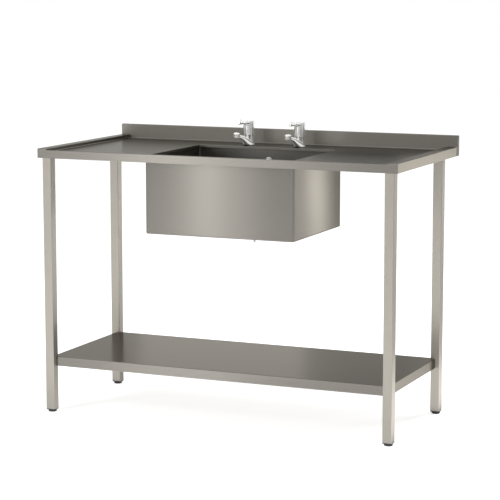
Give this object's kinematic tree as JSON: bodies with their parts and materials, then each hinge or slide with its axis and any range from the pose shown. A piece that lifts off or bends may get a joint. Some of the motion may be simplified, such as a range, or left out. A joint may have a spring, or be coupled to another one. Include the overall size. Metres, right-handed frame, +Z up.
{
  "type": "kitchen sink unit",
  "caption": "Free-standing stainless sink unit with a square bowl, drainers each side, rear upstand, lever pillar taps, square legs and an undershelf.",
  "frame": {"origin": "on the floor at the centre of the unit's footprint", "axes": "+X to the right along the length, +Y to the rear, where the upstand is, +Z up"},
  "size_m": [1.2, 0.6, 0.9278],
  "materials": {
    "satin_sheet": "satin grain along the length",
    "satin_tube": "satin grain along the tube",
    "plain_sheet": "mill finish",
    "screw_steel": "bright zinc",
    "chrome_plate": "polished chrome plate",
    "waste_steel": "polished",
    "brass": "machined",
    "black_plastic": "moulded, matt",
    "black_rubber": "matt",
    "white_plastic": "moulded, matt"
  },
  "bodies": {
    "unit": {"bowl": "satin_sheet", "earth_tab": "plain_sheet", "foot_insert_front_left": "black_plastic", "foot_insert_front_right": "black_plastic", "foot_insert_rear_left": "black_plastic", "foot_insert_rear_right": "black_plastic", "leg_front_left": "satin_tube", "leg_front_right": "satin_tube", "leg_grub_screws": "screw_steel", "leg_rear_left": "satin_tube", "leg_rear_right": "satin_tube", "leg_socket_front_left": "plain_sheet", "leg_socket_front_right": "plain_sheet", "leg_socket_rear_left": "plain_sheet", "leg_socket_rear_right": "plain_sheet", "overflow_elbow": "white_plastic", "overflow_pipe": "white_plastic", "overflow_ring": "white_plastic", "overflow_rose": "chrome_plate", "overflow_screw": "screw_steel", "overflow_seal": "black_rubber", "shelf_bracket_front_left": "plain_sheet", "shelf_bracket_front_right": "plain_sheet", "shelf_bracket_rear_left": "plain_sheet", "shelf_bracket_rear_right": "plain_sheet", "shelf_screws": "screw_steel", "shelf_stiffener": "plain_sheet", "tap_backnut_left": "brass", "tap_backnut_right": "brass", "tap_body_left": "chrome_plate", "tap_body_right": "chrome_plate", "tap_cartridge_left": "brass", "tap_cartridge_right": "brass", "tap_clamp_washer_left": "white_plastic", "tap_clamp_washer_right": "white_plastic", "tap_seat_ring_left": "black_rubber", "tap_seat_ring_right": "black_rubber", "top_stiffener_inner_left": "plain_sheet", "top_stiffener_inner_right": "plain_sheet", "top_stiffener_outer_left": "plain_sheet", "top_stiffener_outer_right": "plain_sheet", "undershelf": "satin_sheet", "waste": "waste_steel", "waste_backnut": "white_plastic", "waste_seal": "black_rubber", "worktop": "satin_sheet"},
    "tap_lever_left": {"tap_handle_left": "chrome_plate", "tap_spindle_left": "brass", "tap_handle_screw_left": "screw_steel", "tap_cap_left": "chrome_plate"},
    "tap_lever_right": {"tap_handle_right": "chrome_plate", "tap_spindle_right": "brass", "tap_handle_screw_right": "screw_steel", "tap_cap_right": "chrome_plate"},
    "foot_front_left": {"levelling_foot_front_left": "black_plastic"},
    "foot_front_right": {"levelling_foot_front_right": "black_plastic"},
    "foot_rear_left": {"levelling_foot_rear_left": "black_plastic"},
    "foot_rear_right": {"levelling_foot_rear_right": "black_plastic"}
  },
  "joints": [
    {"name": "tap_lever_left_turn", "type": "hinge", "parent": "unit", "child": "tap_lever_left", "pos_m": [-0.09, 0.203, 0.872], "axis": [0, 0, -1], "range_deg": [0, 90]},
    {"name": "tap_lever_right_turn", "type": "hinge", "parent": "unit", "child": "tap_lever_right", "pos_m": [0.09, 0.203, 0.872], "axis": [0, 0, 1], "range_deg": [0, 90]},
    {"name": "foot_front_left_travel", "type": "slide", "parent": "unit", "child": "foot_front_left", "axis": [0, 0, -1], "range_m": [0, 0.015]},
    {"name": "foot_front_right_travel", "type": "slide", "parent": "unit", "child": "foot_front_right", "axis": [0, 0, -1], "range_m": [0, 0.015]},
    {"name": "foot_rear_left_travel", "type": "slide", "parent": "unit", "child": "foot_rear_left", "axis": [0, 0, -1], "range_m": [0, 0.015]},
    {"name": "foot_rear_right_travel", "type": "slide", "parent": "unit", "child": "foot_rear_right", "axis": [0, 0, -1], "range_m": [0, 0.015]}
  ]
}
